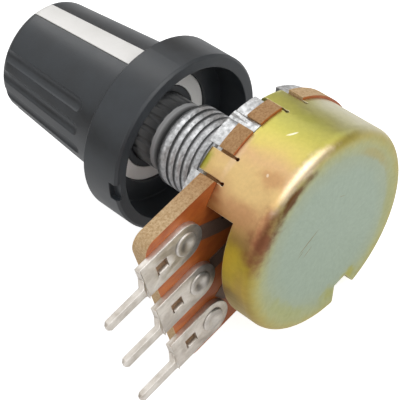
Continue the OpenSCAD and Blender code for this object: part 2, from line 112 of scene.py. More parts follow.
@contextmanager
def editing(piece: bpy.types.Object) -> Iterator[bmesh.types.BMesh]:
    """Opens a piece in edit mode with nothing selected, and closes it again.

    Args:
        piece: The mesh object to edit.

    Returns:
        The edit mesh, for choosing faces and edges by their place.
    """
    pick(piece)
    bpy.ops.object.mode_set(mode="EDIT")
    bpy.ops.mesh.select_all(action="DESELECT")
    yield bmesh.from_edit_mesh(piece.data)
    bpy.ops.object.mode_set(mode="OBJECT")


def select_level(mesh: bmesh.types.BMesh) -> None:
    """Selects the level faces at both ends of an upright solid."""
    for face in mesh.faces:
        face.select = abs(face.normal.z) > LEVEL


def face_outward() -> None:
    """Turns every face of the piece in edit mode outward."""
    bpy.ops.mesh.select_all(action="SELECT")
    bpy.ops.mesh.normals_make_consistent(inside=False)


def work(piece: bpy.types.Object, kind: str, **settings: object) -> None:
    """Adds a modifier with its settings and applies it.

    Args:
        piece: The mesh object to work on.
        kind: The modifier's type.
        settings: Values set on the modifier.
    """
    pick(piece)
    modifier = piece.modifiers.new(kind.lower(), kind)
    for name, value in settings.items():
        setattr(modifier, name, value)
    bpy.ops.object.modifier_apply(modifier=modifier.name)


def carve(piece: bpy.types.Object, tool: bpy.types.Object) -> None:
    """Cuts a tool solid out of a piece, and removes the tool."""
    work(piece, "BOOLEAN", operation="DIFFERENCE", solver="EXACT", object=tool)
    bpy.data.objects.remove(tool)


def tube(name: str, outer_r: float, bore_r: float, low: float, high: float, sides: int) -> bpy.types.Object:
    """Shapes an upright tube on the shaft axis, from a cylinder with its ends inset and bridged.

    Args:
        name: The tube's name.
        outer_r: Outer radius in millimetres.
        bore_r: Radius of the bore in millimetres.
        low: Level of the lower end in millimetres.
        high: Level of the upper end in millimetres.
        sides: Faces round the tube.

    Returns:
        The new mesh object, at the origin.
    """
    deselect()
    bpy.ops.mesh.primitive_cylinder_add(
        vertices=sides,
        radius=outer_r * MM,
        depth=(high - low) * MM,
        location=(0, 0, (low + high) / 2 * MM),
    )
    piece = bpy.context.object
    piece.name = name
    bpy.ops.object.transform_apply(location=True, rotation=False, scale=False)
    with editing(piece) as mesh:
        select_level(mesh)
        bpy.ops.mesh.inset(thickness=(outer_r - bore_r) * MM)
        bpy.ops.mesh.bridge_edge_loops()
        face_outward()
    return piece


def copy_node(node: str, name: str) -> bpy.types.Object:
    """Makes a new piece from a CAD node's mesh, with its loose triangles merged.

    Args:
        node: The CAD node to copy.
        name: The new piece's name.

    Returns:
        The new mesh object, in the part's frame.
    """
    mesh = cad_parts[node].data.copy()
    mesh.name = name
    mesh.materials.clear()
    piece = bpy.data.objects.new(name, mesh)
    bpy.context.scene.collection.objects.link(piece)
    with editing(piece):
        bpy.ops.mesh.select_all(action="SELECT")
        bpy.ops.mesh.remove_doubles(threshold=SAME_POINT)
    return piece


def smooth(piece: bpy.types.Object, degrees: float = 32) -> None:
    """Shades a piece smooth, with edges sharper than the angle kept."""
    pick(piece)
    bpy.ops.object.shade_smooth_by_angle(angle=math.radians(degrees))


def lay_down(piece: bpy.types.Object) -> None:
    """Turns a piece that was shaped upright into the part's frame."""
    pick(piece)
    piece.rotation_euler = (LYING, 0, 0)
    bpy.ops.object.transform_apply(location=True, rotation=True, scale=True)


# Materials


def linear(hex_colour: str) -> tuple[float, float, float, float]:
    """Turns an sRGB hex colour into linear red, green, blue and alpha."""
    raw = hex_colour.lstrip("#")
    parts = [int(raw[i : i + 2], 16) / 255 for i in (0, 2, 4)]
    return (*(c / 12.92 if c <= 0.04045 else ((c + 0.055) / 1.055) ** 2.4 for c in parts), 1.0)


def feed(tree: bpy.types.NodeTree, socket: Socket, value: object) -> None:
    """Links another node's output to an input socket, or sets the socket to a plain value."""
    if isinstance(value, Socket):
        tree.links.new(value, socket)
    else:
        socket.default_value = value


def lay(tree: bpy.types.NodeTree, kind: str, sockets: dict | None = None, **settings: object) -> bpy.types.Node:
    """Adds a node with its settings and links.

    Args:
        tree: The node tree that the node goes into.
        kind: The node's type, without its ShaderNode prefix.
        sockets: Input sockets by name or number, each a value or another node's output.
        settings: Values set on the node.

    Returns:
        The new node.
    """
    node = tree.nodes.new("ShaderNode" + kind)
    for name, value in settings.items():
        setattr(node, name, value)
    for name, value in (sockets or {}).items():
        feed(tree, node.inputs[name], value)
    return node


@dataclass(frozen=True)
class Surface:
    """What one finish is built on, measured on the upright part in millimetres.

    Args:
        material: The material being built.
        tree: Its node tree.
        shader: Its shader.
        place: The place on the part.
        across: Distance from the shaft axis towards the terminals.
        side: Distance from the shaft axis along the row of terminals.
        along: Distance from the panel seat towards the knob.
        radius: Distance from the shaft axis.
        turn: Turn about the axis from 0 to 1, where a half is towards the terminals.
        facing: Share of the normal that points towards the knob.
    """

    material: bpy.types.Material
    tree: bpy.types.NodeTree
    shader: bpy.types.Node
    place: Socket
    across: Socket
    side: Socket
    along: Socket
    radius: Socket
    turn: Socket
    facing: Socket

    def noise(self, scale: float, detail: float, roughness: float = 0.5, over: Socket | None = None) -> Socket:
        """Adds fractal noise over the place, or over another vector."""
        vector = self.place if over is None else over
        sockets = {"Vector": vector, "Scale": scale, "Detail": detail, "Roughness": roughness}
        return lay(self.tree, "TexNoise", sockets).outputs["Fac"]

    def calc(self, operation: str, first: object, second: object = 0.0, third: float = 0.0) -> Socket:
        """Works out a value from up to three others, by a named operation."""
        return lay(self.tree, "Math", {0: first, 1: second, 2: third}, operation=operation).outputs[0]

    def join(self, x: object, y: object = 0.0, z: object = 0.0) -> Socket:
        """Joins three values to a vector."""
        return lay(self.tree, "CombineXYZ", {0: x, 1: y, 2: z}).outputs[0]

    def stretch(self, vector: Socket, factors: Triple) -> Socket:
        """Multiplies a vector by one factor for each axis."""
        return lay(self.tree, "VectorMath", {0: vector, 1: factors}, operation="MULTIPLY").outputs[0]

    def length(self, vector: Socket) -> Socket:
        """Measures a vector."""
        return lay(self.tree, "VectorMath", {0: vector}, operation="LENGTH").outputs["Value"]

    def remap(
        self,
        value: Socket,
        low: float,
        high: float,
        to_low: float = 0.0,
        to_high: float = 1.0,
        **settings: object,
    ) -> Socket:
        """Maps one range of a value to another, and holds it there unless the settings let it go on."""
        sockets = {0: value, 1: low, 2: high, 3: to_low, 4: to_high}
        return lay(self.tree, "MapRange", sockets, **settings).outputs[0]

    def ramp(self, value: Socket, *stops: Stop) -> Socket:
        """Turns a value from 0 to 1 into a colour, by stops of a place and a colour each."""
        node = lay(self.tree, "ValToRGB", {0: value})
        elements = node.color_ramp.elements
        while len(elements) < len(stops):
            elements.new(1.0)
        for element, (place, colour) in zip(elements, stops):
            element.position = place
            element.color = linear(colour)
        return node.outputs[0]

    def mix(self, share: object, under: Socket, over: Socket | str, blend: str = "MIX") -> Socket:
        """Lays a colour over another one by a share."""
        colour = linear(over) if isinstance(over, str) else over
        return lay(
            self.tree, "Mix", {0: share, 6: under, 7: colour}, data_type="RGBA", blend_type=blend
        ).outputs[2]

    def rounded(self, width: float) -> Socket:
        """Finds normals that round hard edges over a width in millimetres."""
        return lay(self.tree, "Bevel", {"Radius": width * MM}, samples=4).outputs[0]

    def edge_glint(self, rounded: Socket, strength: float) -> Socket:
        """Finds the sharp edges of a piece, where a pale painted highlight is laid.

        Args:
            rounded: Normals that round the hard edges.
            strength: Highest value of the mask.

        Returns:
            A value that is 0 on flat faces and rises to the strength on sharp edges.
        """
        true = lay(self.tree, "NewGeometry").outputs["Normal"]
        match = lay(self.tree, "VectorMath", {0: rounded, 1: true}, operation="DOT_PRODUCT")
        return self.remap(match.outputs["Value"], 0.995, 0.9, 0.0, strength)

    def bump(self, height: Socket, strength: float, depth: float, rounded: Socket | None = None) -> Socket:
        """Raises the surface by a height, over rounded edges where they are given.

        Args:
            height: The relief, from 0 to 1.
            strength: Share of the relief that shows.
            depth: Depth of the relief in millimetres.
            rounded: Normals that round the hard edges.

        Returns:
            The normals of the raised surface.
        """
        sockets = {"Height": height, "Strength": strength, "Distance": depth * MM}
        if rounded is not None:
            sockets["Normal"] = rounded
        return lay(self.tree, "Bump", sockets).outputs[0]

    def shade(self, **values: object) -> bpy.types.Material:
        """Sets the shader's sockets, with underscores for spaces in their names.

        Args:
            values: A value or another node's output for each socket.

        Returns:
            The finished material.
        """
        for name, value in values.items():
            feed(self.tree, self.shader.inputs[name.replace("_", " ")], value)
        return self.material


def new_surface(name: str) -> Surface:
    """Starts a material whose patterns are measured on the upright part, in millimetres.

    Args:
        name: The material's name.

    Returns:
        The surface to build the finish on.
    """
    material = bpy.data.materials.new(name)
    material.use_nodes = True
    tree = material.node_tree
    upright = {"Rotation": (-LYING, 0.0, 0.0)}
    spot = lay(tree, "TexCoord").outputs
    place = lay(tree, "Mapping", {"Vector": spot["Object"], "Scale": (1 / MM, 1 / MM, 1 / MM), **upright})
    normal = lay(tree, "Mapping", {"Vector": spot["Normal"], **upright}, vector_type="NORMAL")
    across, side, along = lay(tree, "SeparateXYZ", {0: place.outputs[0]}).outputs
    flat = lay(tree, "VectorMath", {0: place.outputs[0], 1: (1, 1, 0)}, operation="MULTIPLY")
    radius = lay(tree, "VectorMath", {0: flat.outputs[0]}, operation="LENGTH")
    angle = lay(tree, "Math", {0: side, 1: across}, operation="ARCTAN2")
    turn = lay(tree, "MapRange", {0: angle.outputs[0], 1: -math.pi, 2: math.pi})
    facing = lay(tree, "SeparateXYZ", {0: normal.outputs[0]})
    return Surface(
        material=material,
        tree=tree,
        shader=tree.nodes["Principled BSDF"],
        place=place.outputs[0],
        across=across,
        side=side,
        along=along,
        radius=radius.outputs["Value"],
        turn=turn.outputs[0],
        facing=facing.outputs[2],
    )


class Finish(Protocol):
    """A finish that can build its material."""

    def build(self) -> bpy.types.Material:
        """Builds the material and returns it."""


def turned(degrees: float) -> float:
    """Gives the turn coordinate of an angle from the terminals."""
    return 0.5 + degrees / 360


@dataclass(frozen=True)
class TintPatch:
    """One cloud of colour on the cover; most are a deeper film, and at the bend some are a painted highlight
    and painted dark reflections.

    Args:
        turn: Centre of the cloud about the axis, in degrees from the terminals.
        way: Centre along the cover's outline, in millimetres from the plate and on towards the axis.
        half_turn: Half width about the axis, in degrees.
        half_way: Half width along the outline, in millimetres.
        colour: The colour there.
        strength: Share of the colour at the centre.
    """

    turn: float
    way: float
    half_turn: float
    half_way: float
    colour: str
    strength: float


@dataclass(frozen=True)
class Scratch:
    """One single scratch on the cover.

    Args:
        middle: Its middle on the upright part, in millimetres.
        lie: Turns that bring the first axis along it, in degrees.
        length: Length in millimetres.
        width: Width in millimetres.
        colour: Colour in the scratch.
        strength: Share of that colour.
    """

    middle: Triple
    lie: Triple
    length: float
    width: float
    colour: str
    strength: float


@dataclass(frozen=True)
class PassivatedSteel:
    """Deep-drawn mild steel, zinc plated and yellow passivated.

    The thin chromate film gives a satin metal that drifts between straw, olive, pink and blue-grey with its
    thickness, with fine drawing lines through it; at the bend a painted highlight and painted dark reflections
    lie on it.

    Args:
        name: The material's name.
        wall: Film colours round the wall, by the turn about the axis, partly painted reflection as the camera
            sees it.
        back: Film colours of the flat back, by the share of the cover's radius.
        tints_and_painted_light: Clouds of a deeper film, with a painted highlight and painted dark reflections
            at the bend.
        scratches: Single scratches.
        sheared: Pale colour on the sheared edges: partly bare steel, partly a painted highlight.
    """

    name: str = "yellow_passivated_drawn_steel"
    wall: tuple[Stop, ...] = (
        (0.0, "#b8a860"),
        (0.14, "#b4ae78"),
        (0.30, "#c8b870"),
        (0.44, "#b09a50"),
        (0.52, "#a08a4c"),
        (0.56, "#b09a38"),
        (0.60, "#a88a50"),
        (0.645, "#c8a070"),
        (0.675, "#e0c084"),
        (0.70, "#dcb684"),
        (0.73, "#d4c070"),
        (0.775, "#cbc364"),
        (0.81, "#cbc86e"),
        (0.85, "#d0cd94"),
        (0.885, "#dad5b8"),
        (0.93, "#dad2ae"),
        (1.0, "#b8a860"),
    )
    back: tuple[Stop, ...] = (
        (0.0, "#a9b7a8"),
        (0.60, "#a8b6a6"),
        (0.76, "#abb59e"),
        (0.84, "#b2b68e"),
        (0.90, "#b8b47c"),
        (0.96, "#b9ac66"),
        (1.0, "#b8a860"),
    )
    tints_and_painted_light: tuple[TintPatch, ...] = (
        TintPatch(5, 5.4, 10, 1.0, "#857448", 0.5),
        TintPatch(24, 5.4, 17, 1.7, "#cbb23e", 0.8),
        TintPatch(14, 6.9, 14, 0.8, "#b89a48", 0.5),
        # Brown film on the bend, darkened further as painted shade that damps a lamp's reflection there.
        TintPatch(44, 8.0, 20, 1.5, "#84503a", 0.95),
        TintPatch(51, 5.4, 8, 2.0, "#b88860", 0.6),
        TintPatch(72, 6.2, 6, 1.3, "#c08c62", 0.6),
        TintPatch(62, 1.3, 8, 0.5, "#d0b070", 0.5),
        TintPatch(64, 0.7, 6, 0.55, "#9c9c30", 0.9),
        TintPatch(74, 2.7, 14, 0.35, "#e8c8a0", 0.6),
        TintPatch(112, 4.6, 6, 1.6, "#b4b44c", 0.4),
        TintPatch(110, 8.0, 22, 0.7, "#a8983c", 0.6),
        # Painted highlight along the bend, where a softbox would shine.
        TintPatch(86, 7.9, 24, 0.75, "#f0dcc0", 0.85),
        # Painted dark reflection along the bend, next to the painted highlight.
        TintPatch(67, 8.9, 24, 0.58, "#6a4620", 1.0),
        TintPatch(150, 9.6, 26, 0.5, "#b8a45c", 0.5),
        TintPatch(200, 9.5, 30, 0.6, "#b0ae70", 0.5),
        TintPatch(262, 9.9, 9, 0.8, "#b6b050", 0.8),
        TintPatch(283, 9.9, 10, 0.9, "#b2b060", 0.7),
        TintPatch(330, 9.7, 34, 0.8, "#b2b474", 0.6),
    )
    scratches: tuple[Scratch, ...] = (
        Scratch((2.08, 1.40, COVER_BACK), (0, 0, -13), 2.5, 0.10, "#8f744e", 0.8),
        Scratch((2.37, 0.53, COVER_BACK), (0, 0, -15), 1.2, 0.08, "#8f744e", 0.7),
        Scratch((3.05, 0.92, COVER_BACK), (0, 0, -20), 0.9, 0.07, "#8c7450", 0.6),
        Scratch((-1.9, 2.6, COVER_BACK), (0, 0, 35), 0.7, 0.08, "#97855f", 0.5),
        Scratch((-1.176, 8.368, -4.9), (0, -27.7, 8), 0.80, 0.09, "#fbf6d8", 1.0),
        Scratch((-0.95, 8.396, -4.72), (0, -27.7, 6), 0.50, 0.07, "#f8f0c8", 0.8),
        Scratch((2.470, 8.081, -5.68), (0, 30, -17), 0.3, 0.10, "#fbf0d8", 0.5),
    )
    sheared: str = "#f4e6cc"

    def tinted(self, s: Surface, way: Socket, waver: Socket, base: Socket) -> Socket:
        """Lays every tint patch over the base colour, the painted highlight and painted dark reflections at the
        bend among them.

        Args:
            s: The surface being built.
            way: Way along the cover's outline, in millimetres.
            waver: What makes the outlines of the patches ragged.
            base: The colour under them.

        Returns:
            The tinted colour, with the painted light in it.
        """
        for tint_patch in self.tints_and_painted_light:
            half = tint_patch.half_turn
            across = s.remap(s.turn, turned(tint_patch.turn), turned(tint_patch.turn + half), clamp=False)
            wrapped = s.calc("WRAP", across, 180 / half, -180 / half)
            along = s.remap(way, tint_patch.way, tint_patch.way + tint_patch.half_way, clamp=False)
            ragged = s.calc("ADD", s.length(s.join(wrapped, along)), waver)
            share = s.remap(ragged, 0.15, 1.35, tint_patch.strength, 0.0, interpolation_type="SMOOTHERSTEP")
            base = s.mix(share, base, tint_patch.colour)
        return base

    def scratched(self, s: Surface, base: Socket) -> Socket:
        """Lays the single scratches over the base colour.

        Args:
            s: The surface being built.
            base: The colour under them.

        Returns:
            The scratched colour.
        """
        for scratch in self.scratches:
            sockets = {
                "Vector": s.place,
                "Location": scratch.middle,
                "Rotation": tuple(math.radians(angle) for angle in scratch.lie),
                "Scale": (scratch.length / 2, scratch.width / 2, scratch.width),
            }
            own = lay(s.tree, "Mapping", sockets, vector_type="TEXTURE")
            share = s.remap(s.length(own.outputs[0]), 0.7, 1.1, scratch.strength, 0.0)
            base = s.mix(share, base, scratch.colour)
        return base

    def build(self) -> bpy.types.Material:
        """Builds the material and returns it."""
        s = new_surface(self.name)
        # The film drifts over some 5 mm, with clouds of about 1 mm in it.
        drift = s.noise(0.22, 2.0)
        cloud = s.noise(0.9, 4.0, 0.6)
        swing = s.remap(drift, 0.3, 0.7, -0.02, 0.02)
        # The colours round the wall are partly the film and partly painted reflection, as seen from the camera.
        wall = s.ramp(s.calc("ADD", s.turn, swing), *self.wall)
        ragged = s.calc("ADD", s.radius, s.calc("MULTIPLY_ADD", cloud, 0.9, -0.45))
        back = s.ramp(s.remap(ragged, 0.0, COVER_R), *self.back)
        behind = s.remap(s.along, COVER_BACK + 0.6, COVER_BACK, interpolation_type="SMOOTHSTEP")
        skin = s.mix(behind, wall, back)
        # Way along the outline: down the wall from the plate, round the bend, then in over the back.
        way = s.calc("SUBTRACT", s.calc("SUBTRACT", COVER_R, s.radius), s.along)
        waver = s.remap(cloud, 0.3, 0.7, -0.3, 0.3, clamp=False)
        # Tint patches, with the painted highlight and painted dark reflections at the bend.
        film = self.tinted(s, way, waver, skin)
        # Mottle of about 0.3 mm.
        mottle = s.remap(s.noise(3.2, 5.0, 0.7), 0.35, 0.65, 0.95, 1.04)
        bare = self.scratched(s, s.mix(1.0, film, mottle, "MULTIPLY"))
        # Drawing lines run along the wall, about 0.35 mm apart, with a grain of 0.15 mm over them.
        drawn = s.stretch(s.join(s.turn, s.along, s.radius), (150.0, 0.45, 1.2))
        lines = s.noise(1.0, 3.0, 0.65, drawn)
        fine = s.noise(7.0, 4.0, 0.7)
        satin = s.remap(lines, 0.3, 0.7, 0.32, 0.46)
        # The bend is a little duller, as the die rubbed it.
        bend = s.remap(way, 6.8, 7.4, 0.0, 0.06, interpolation_type="SMOOTHSTEP")
        relief = s.calc("MULTIPLY_ADD", lines, 0.6, fine)
        # Sheared edges are painted pale: partly bare steel, partly a painted highlight.
        rounded = s.rounded(0.10)
        return s.shade(
            Base_Color=s.mix(s.edge_glint(rounded, 0.75), bare, self.sheared),
            Metallic=0.92,
            Roughness=s.calc("ADD", satin, bend),
            Normal=s.bump(relief, 0.16, 0.02, rounded),
        )


@dataclass(frozen=True)
class CastZinc:
    """Die-cast zinc alloy as it leaves the die and tumbling.

    It is a bright grey metal with a soft, slightly pitted skin, greyer on the neck.

    Args:
        name: The material's name.
        dark: Grey in the pits.
        light: Grey of the worn skin.
        neck_tint: Tint of the neck.
        neck_r: Radius up to which the casting is neck, in millimetres.
    """

    name: str = "die_cast_zinc_tumbled"
    dark: str = "#9fa0a0"
    light: str = "#dedfe0"
    neck_tint: str = "#c9c9ca"
    neck_r: float = 3.55

    def build(self) -> bpy.types.Material:
        """Builds the material and returns it."""
        s = new_surface(self.name)
        # Casting skin: flow marks of about 0.4 mm and pits of 0.2 mm.
        skin = s.noise(2.6, 6.0, 0.65)
        pits = lay(s.tree, "TexVoronoi", {"Vector": s.place, "Scale": 5.0, "Randomness": 1.0}, feature="F1")
        colour = s.ramp(skin, (0.32, self.dark), (0.62, self.light))
        # The neck is tinted greyer than the rest of the plate.
        on_neck = s.remap(s.radius, self.neck_r, self.neck_r + 0.2, 1.0, 0.0)
        raised = s.remap(s.along, 0.2, 0.8, 0.0, 0.65)
        relief = s.calc("MULTIPLY_ADD", pits.outputs["Distance"], 0.35, skin)
        return s.shade(
            Base_Color=s.mix(s.calc("MULTIPLY", on_neck, raised), colour, self.neck_tint, "MULTIPLY"),
            Metallic=1.0,
            Roughness=s.remap(skin, 0.3, 0.7, 0.52, 0.38),
            Normal=s.bump(relief, 0.45, 0.06, s.rounded(0.07)),
        )


@dataclass(frozen=True)
class PhenolicLaminate:
    """Paper phenolic laminate, punched from sheet.

    Its faces are a satin orange-brown resin with paper fibres, and its torn edges
    are pale tan, grainy and matt.

    Args:
        name: The material's name.
        face_dark: Darkest resin of the faces.
        face_light: Lightest resin of the faces.
        edge_dark: Darkest grain of the torn edges.
        edge_light: Lightest grain of the torn edges.
        cover_shade: Resin colour painted towards the cover as its shade.
        near_cover_tint: Tint that darkens the torn edges near the cover.
        window_light: Pale resin painted as light seen through the terminals' windows.
        pitch: Pitch of the terminals, in millimetres.
        window_x: Distance of the terminals' windows from the shaft axis, in millimetres.
    """

    name: str = "paper_phenolic_laminate_punched"
    face_dark: str = "#a84f1c"
    face_light: str = "#cd722b"
    edge_dark: str = "#ba9465"
    edge_light: str = "#e0c297"
    cover_shade: str = "#8a4628"
    near_cover_tint: str = "#d2b597"
    window_light: str = "#bda283"
    pitch: float = 5.0
    window_x: float = 11.2

    def build(self) -> bpy.types.Material:
        """Builds the material and returns it."""
        s = new_surface(self.name)
        # Paper fibre clouds of about 1.5 mm, stretched along one direction of the sheet.
        fibre = s.noise(1.1, 7.0, 0.62, s.stretch(s.place, (0.6, 1.4, 1.0)))
        face = s.ramp(fibre, (0.30, self.face_dark), (0.70, self.face_light))
        # Torn edge grain of about 0.2 mm.
        grain = s.noise(5.5, 5.0, 0.75)
        edge = s.ramp(grain, (0.36, self.edge_dark), (0.60, self.edge_light))
        # The resin is darker towards the cover: painted shade of the cover.
        darker = s.mix(s.remap(s.across, 10.5, 6.0, 0.0, 0.45), face, self.cover_shade)
        # The rear face is painted pale under each lanced tongue, at the pitch of the terminals: painted light
        # seen through the windows.
        row = s.calc("WRAP", s.side, self.pitch / 2, -self.pitch / 2)
        off = s.calc("SUBTRACT", s.across, self.window_x)
        lit_spots = s.remap(s.length(s.join(off, row)), 0.7, 1.1, 0.85, 0.0)
        rear = s.calc("LESS_THAN", s.facing, 0.0)
        top = s.mix(s.calc("MULTIPLY", lit_spots, rear), darker, self.window_light)
        # The edge is darker near the cover, and lighter again from the third tooth on.
        near_cover_mask = s.remap(s.across, 9.0, 5.0, 0.0, 0.75)
        before_third_tooth = s.remap(s.turn, 0.79, 0.83, 1.0, 0.1)
        rim = s.mix(s.calc("MULTIPLY", near_cover_mask, before_third_tooth), edge, self.near_cover_tint, "MULTIPLY")
        on_face = s.remap(s.calc("ABSOLUTE", s.facing), 0.55, 0.85)
        relief = s.calc("MULTIPLY", grain, s.remap(on_face, 0.0, 1.0, 1.0, 0.12))
        return s.shade(
            Base_Color=s.mix(on_face, rim, top),
            Roughness=s.remap(on_face, 0.0, 1.0, 0.85, 0.42),
            Normal=s.bump(relief, 0.8, 0.12),
            IOR=1.55,
        )


@dataclass(frozen=True)
class PrintedFilm:
    """Thick-film ink, screen printed and baked on the board: matt and finely speckled.

    Args:
        name: The material's name.
        dark: Darkest speck.
        light: Lightest speck.
        metallic: Share of metal in the ink.
        roughness: Roughness of the smoothest speck.
    """

    name: str
    dark: str
    light: str
    metallic: float
    roughness: float

    def build(self) -> bpy.types.Material:
        """Builds the material and returns it."""
        s = new_surface(self.name)
        # Print grain of about 0.1 mm.
        speck = s.noise(9.0, 4.0, 0.7)
        return s.shade(
            Base_Color=s.ramp(speck, (0.35, self.dark), (0.65, self.light)),
            Metallic=self.metallic,
            Roughness=s.remap(speck, 0.3, 0.7, self.roughness, self.roughness + 0.12),
            Normal=s.bump(speck, 0.4, 0.01),
        )


@dataclass(frozen=True)
class PlatedStrip:
    """Rolled brass or steel strip, stamped and plated.

    The plating is a soft warm grey with fine rolling lines and a satin sheen, and its sheared edges are painted
    brighter as a highlight.

    Args:
        name: The material's name.
        dark: Darkest plating.
        light: Lightest plating.
        roughness: Middling roughness.
        line_scale: Rolling lines to a millimetre.
        metallic: Share of bare metal.
        edge: Pale colour painted on the sheared edges as a highlight.
    """

    name: str
    dark: str
    light: str
    roughness: float
    line_scale: float
    metallic: float
    edge: str = "#fbf9f5"

    def build(self) -> bpy.types.Material:
        """Builds the material and returns it."""
        s = new_surface(self.name)
        # Rolling lines along the strip, and patches of about 1 mm.
        lines = s.noise(self.line_scale, 4.0, 0.7, s.stretch(s.place, (0.25, 1.0, 1.0)))
        patches = s.noise(0.9, 3.0, 0.55)
        both = s.calc("MULTIPLY_ADD", lines, 0.45, patches)
        colour = s.ramp(both, (0.52, self.dark), (0.90, self.light))
        rounded = s.rounded(0.08)
        # The sheared edges get a pale painted highlight.
        return s.shade(
            Base_Color=s.mix(s.edge_glint(rounded, 0.8), colour, self.edge),
            Metallic=self.metallic,
            Roughness=s.remap(lines, 0.3, 0.7, self.roughness - 0.05, self.roughness + 0.1),
            Normal=s.bump(lines, 0.25, 0.02, rounded),
        )


@dataclass(frozen=True)
class TurnedShaft:
    """Free-cutting aluminium bar, turned: bright rings of tool marks round the axis.

    Args:
        name: The material's name.
        dark: Darkest tool marks.
        light: Lightest tool marks.
        dull: Colour of the knurl.
        mouth_shade: Colour of the shade painted in front of the bushing's mouth.
        collar_end: Where the bright collar ends, in millimetres from the panel seat.
        mouth_shade_end: Where the painted shade ends, in millimetres from the panel seat.
    """

    name: str = "turned_aluminium_bar"
    dark: str = "#e8e8e9"
    light: str = "#f4f4f4"
    dull: str = "#96989a"
    mouth_shade: str = "#4a4a4a"
    collar_end: float = 7.9
    mouth_shade_end: float = 7.62

    def build(self) -> bpy.types.Material:
        """Builds the material and returns it."""
        s = new_surface(self.name)
        # Feed marks of about 0.15 mm along the axis.
        marks = s.noise(6.0, 3.0, over=s.join(s.radius, 0.0, s.along))
        colour = s.ramp(marks, (0.35, self.dark), (0.65, self.light))
        # The plain collar below the knurl is lighter and less metallic, and the knurl is a darker grey.
        knurl = s.remap(s.along, self.collar_end, self.collar_end + 0.15)
        dulled = s.mix(knurl, colour, self.dull)
        # Shade is painted in front of the bushing's mouth.
        in_mouth_shade = s.remap(s.along, self.mouth_shade_end, self.mouth_shade_end - 0.32, 0.0, 0.85)
        return s.shade(
            Base_Color=s.mix(in_mouth_shade, dulled, self.mouth_shade),
            Metallic=s.remap(knurl, 0.0, 1.0, 0.35, 0.85),
            Roughness=0.36,
            Normal=s.bump(marks, 0.12, 0.02, s.rounded(0.06)),
        )


@dataclass(frozen=True)
class MouldedPlastic:
    """Injection-moulded plastic with a fine spark-eroded satin skin and handling marks.

    Args:
        name: The material's name.
        dark: Darkest handling marks.
        light: Lightest skin.
        roughness: Roughness of the smoothest skin.
        ior: Refractive index.
        grain: Share of the mould texture that shows.
    """

    name: str
    dark: str
    light: str
    roughness: float
    ior: float
    grain: float

    def build(self) -> bpy.types.Material:
        """Builds the material and returns it."""
        s = new_surface(self.name)
        # Mould texture of about 0.1 mm, and broad flow and handling marks of 3 mm.
        skin = s.noise(9.0, 3.0, 0.6)
        marks = s.noise(0.35, 4.0, 0.6)
        return s.shade(
            Base_Color=s.ramp(marks, (0.3, self.dark), (0.7, self.light)),
            Roughness=s.remap(marks, 0.3, 0.7, self.roughness, self.roughness + 0.08),
            IOR=self.ior,
            Normal=s.bump(skin, self.grain, 0.02, s.rounded(0.12)),
        )


FINISHES: dict[Slot, Finish] = {
    Slot.CHROMATE: PassivatedSteel(),
    Slot.ZINC: CastZinc(),
    Slot.BOARD: PhenolicLaminate(),
    Slot.CARBON: PrintedFilm("screen_printed_carbon", "#141414", "#232322", 0.0, 0.55),
    # The silver print's dark brown-grey is partly its own colour, partly painted shade of the cover.
    Slot.SILVER: PrintedFilm("screen_printed_silver_shaded", "#6b5145", "#7d6557", 0.2, 0.42),
    Slot.TIN: PlatedStrip("dull_tin_plated_brass_strip", "#bfb6ab", "#e6e0d8", 0.38, 4.0, 0.85),
    Slot.EYELET: PlatedStrip("tin_plated_eyelet_brass", "#b2aca5", "#dcd7d1", 0.42, 6.0, 0.85),
    Slot.SHAFT: TurnedShaft(),
    Slot.ROTOR: MouldedPlastic("glass_filled_nylon_moulded", "#161616", "#222222", 0.5, 1.53, 0.5),
    Slot.SPRING: PlatedStrip("phosphor_bronze_spring_strip", "#a8793a", "#d0a45c", 0.28, 5.0, 1.0, "#e6bd78"),
    Slot.KNOB: MouldedPlastic("black_abs_satin_moulded", "#22262a", "#2e3338", 0.36, 1.54, 0.22),
    Slot.WHITE: MouldedPlastic("white_abs_satin_moulded", "#f1efeb", "#fbf9f6", 0.38, 1.54, 0.15),
}


class Wardrobe:
    """Holds one built material for each slot."""

    def __init__(self) -> None:
        """Builds every finish."""
        self.cloth = {slot: finish.build() for slot, finish in FINISHES.items()}

    def dress(self, piece: bpy.types.Object, slot: Slot) -> None:
        """Gives a piece or a CAD node its material."""
        piece.data.materials.clear()
        piece.data.materials.append(self.cloth[slot])


# Sub-assemblies


@dataclass
class Assembly:
    """A group of pieces that belong together on the part.

    Args:
        wardrobe: The built materials.
        body: The body that the pieces move with.
        nodes: CAD nodes whose shape stays as it is, each with its slot.
    """

    wardrobe: Wardrobe
    body: Body = Body.HOUSING
    nodes: tuple[tuple[str, Slot], ...] = ()

    def build(self) -> None:
        """Dresses the nodes whose shape stays as it is."""
        for node, slot in self.nodes:
            self.wardrobe.dress(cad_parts[node], slot)
            smooth(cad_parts[node])
            log.info("node %s: %s, on %s", node, slot.value, self.body.value)

    def hand_over(self, piece: bpy.types.Object, slot: Slot, *nodes: str) -> None:
        """Dresses a new piece, sets it on its body and lets it stand for CAD nodes.

        Args:
            piece: The finished piece, in the part's frame.
            slot: The material slot that it takes its finish from.
            nodes: The CAD nodes that it replaces.
        """
        self.wardrobe.dress(piece, slot)
        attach(piece, self.body.value)
        if nodes:
            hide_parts(*nodes)
        log.info("piece %s: %d faces, on %s", piece.name, len(piece.data.polygons), self.body.value)


